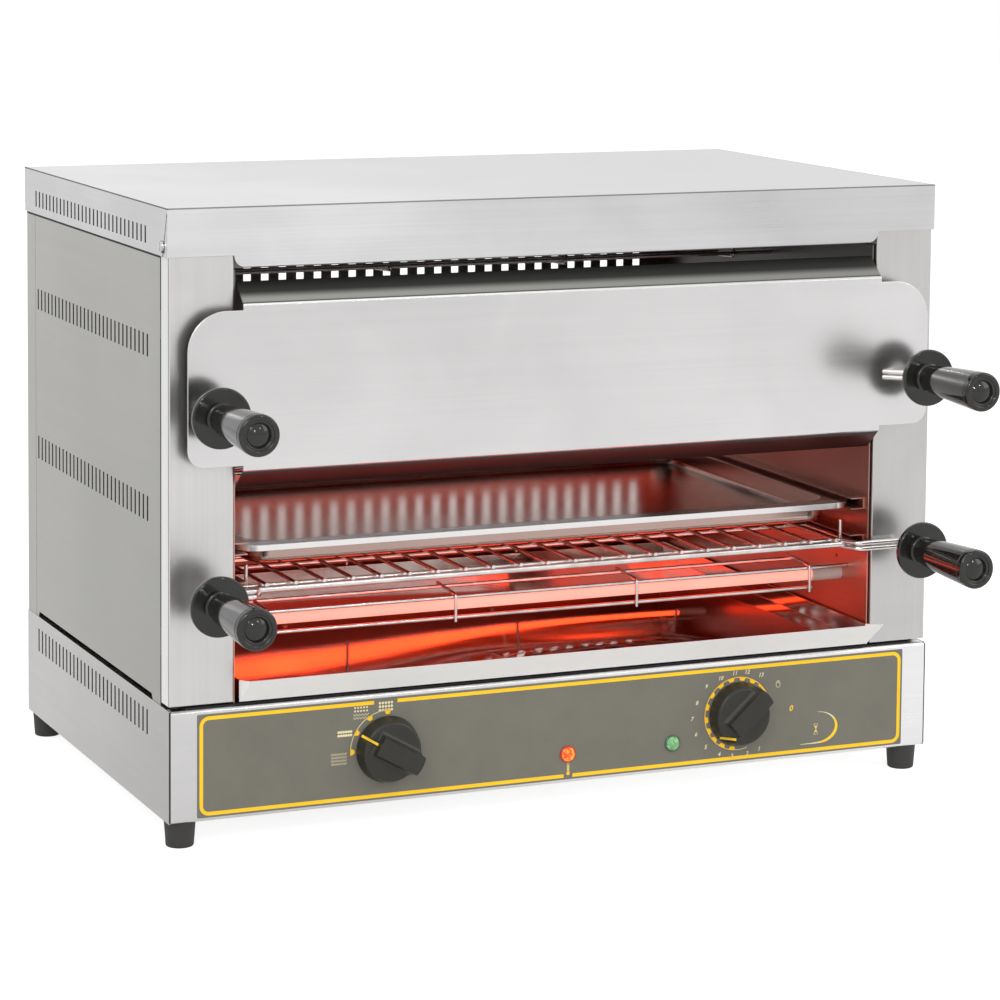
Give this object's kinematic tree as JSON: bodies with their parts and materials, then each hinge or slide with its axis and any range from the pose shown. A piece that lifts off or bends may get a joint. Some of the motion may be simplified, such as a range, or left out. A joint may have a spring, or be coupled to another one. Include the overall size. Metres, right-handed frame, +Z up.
{
  "type": "cheese melter",
  "caption": "Countertop quartz grill with a sliding shielded rack, a lower rack, a shallow pan, a crumb tray and a control box with selector and timer knobs.",
  "frame": {"origin": "on the bench plane under the feet, at the middle of the overall box in X and Y, handles and cable gland included", "axes": "+Z is up, -Y is the front with the knobs and handles, +X is to the right as seen from the front"},
  "size_m": [0.6474, 0.528, 0.477],
  "materials": {
    "cover_steel": "polished stainless sheet with a fine grain",
    "body_steel": "bright-annealed stainless sheet",
    "cavity_steel": "reflective stainless sheet",
    "shield_steel": "brushed stainless sheet",
    "tray_steel": "bright stainless sheet",
    "pan_metal": "satin pressed aluminium",
    "rack_wire": "bright chromed wire",
    "guard_wire": "bright wire",
    "screw_steel": "zinc-plated steel",
    "ferrule_steel": "turned steel",
    "handle_black": "glossy black phenolic",
    "knob_black": "satin black plastic",
    "foot_rubber": "matt black rubber",
    "label_grey": "warm grey printed plate",
    "quartz": "clear fused quartz",
    "filament_wire": "oxidised resistance wire",
    "ceramic": "unglazed white ceramic",
    "orange_lens": "translucent orange lens",
    "green_lens": "translucent green lens",
    "switch_plastic": "moulded thermoset",
    "terminal_plastic": "white moulded plastic",
    "gland_plastic": "black nylon",
    "busbar_brass": "plain brass strip",
    "shaft_steel": "plain turned steel",
    "wire_sleeve": "glass-fibre sleeve"
  },
  "bodies": {
    "oven": {"base_floor": "body_steel", "base_front": "body_steel", "base_shell": "body_steel", "cable_gland": "gland_plastic", "chamber_floor": "cavity_steel", "control_label": "label_grey", "feet": "foot_rubber", "foot_screws": "screw_steel", "front_pillar_left": "body_steel", "front_pillar_right": "body_steel", "heating_lamp": "orange_lens", "liner_left": "cavity_steel", "liner_right": "cavity_steel", "lower_runners": "cavity_steel", "lower_tube_front": "quartz", "lower_tube_guards": "guard_wire", "lower_tube_rear": "quartz", "middle_tube_front": "quartz", "middle_tube_guards": "guard_wire", "middle_tube_rear": "quartz", "pan_runners": "cavity_steel", "panel_screws": "screw_steel", "power_lamp": "green_lens", "rear_grille": "cavity_steel", "rear_panel": "body_steel", "selector_switch": "switch_plastic", "side_panel_left": "body_steel", "side_panel_right": "body_steel", "terminal_block": "terminal_plastic", "timer_case": "switch_plastic", "top_cover": "cover_steel", "top_reflector": "cavity_steel", "tray_guides": "cavity_steel", "tube_busbars": "busbar_brass", "tube_caps": "ceramic", "tube_filaments": "filament_wire", "upper_runners": "cavity_steel", "upper_tube_front": "quartz", "upper_tube_guards": "guard_wire", "upper_tube_rear": "quartz", "wiring_harness": "wire_sleeve"},
    "upper_rack_carriage": {"upper_rack": "rack_wire", "upper_rack_stops": "rack_wire", "front_shield": "shield_steel", "upper_handle_left": "handle_black", "upper_handle_right": "handle_black", "upper_handle_ferrules": "ferrule_steel"},
    "lower_rack_carriage": {"lower_rack": "rack_wire", "lower_rack_stops": "rack_wire", "lower_handle_left": "handle_black", "lower_handle_right": "handle_black", "lower_handle_ferrules": "ferrule_steel"},
    "pan": {"pan": "pan_metal"},
    "crumb_tray": {"crumb_tray": "tray_steel"},
    "selector": {"selector_knob": "knob_black", "selector_shaft": "shaft_steel"},
    "timer": {"timer_knob": "knob_black", "timer_shaft": "shaft_steel"}
  },
  "joints": [
    {"name": "upper_rack_slide", "type": "slide", "parent": "oven", "child": "upper_rack_carriage", "axis": [0, -1, 0], "range_m": [0, 0.25]},
    {"name": "lower_rack_slide", "type": "slide", "parent": "oven", "child": "lower_rack_carriage", "axis": [0, -1, 0], "range_m": [0, 0.25]},
    {"name": "pan_slide", "type": "slide", "parent": "oven", "child": "pan", "axis": [0, -1, 0], "range_m": [0, 0.22]},
    {"name": "crumb_tray_slide", "type": "slide", "parent": "oven", "child": "crumb_tray", "axis": [0, -1, 0], "range_m": [0, 0.28]},
    {"name": "selector_turn", "type": "hinge", "parent": "oven", "child": "selector", "pos_m": [-0.148, -0.138, 0.0615], "axis": [0, -1, 0], "range_deg": [-60, 30]},
    {"name": "timer_turn", "type": "hinge", "parent": "oven", "child": "timer", "pos_m": [0.15, -0.138, 0.0615], "axis": [0, -1, 0], "range_deg": [-167, 168]}
  ]
}
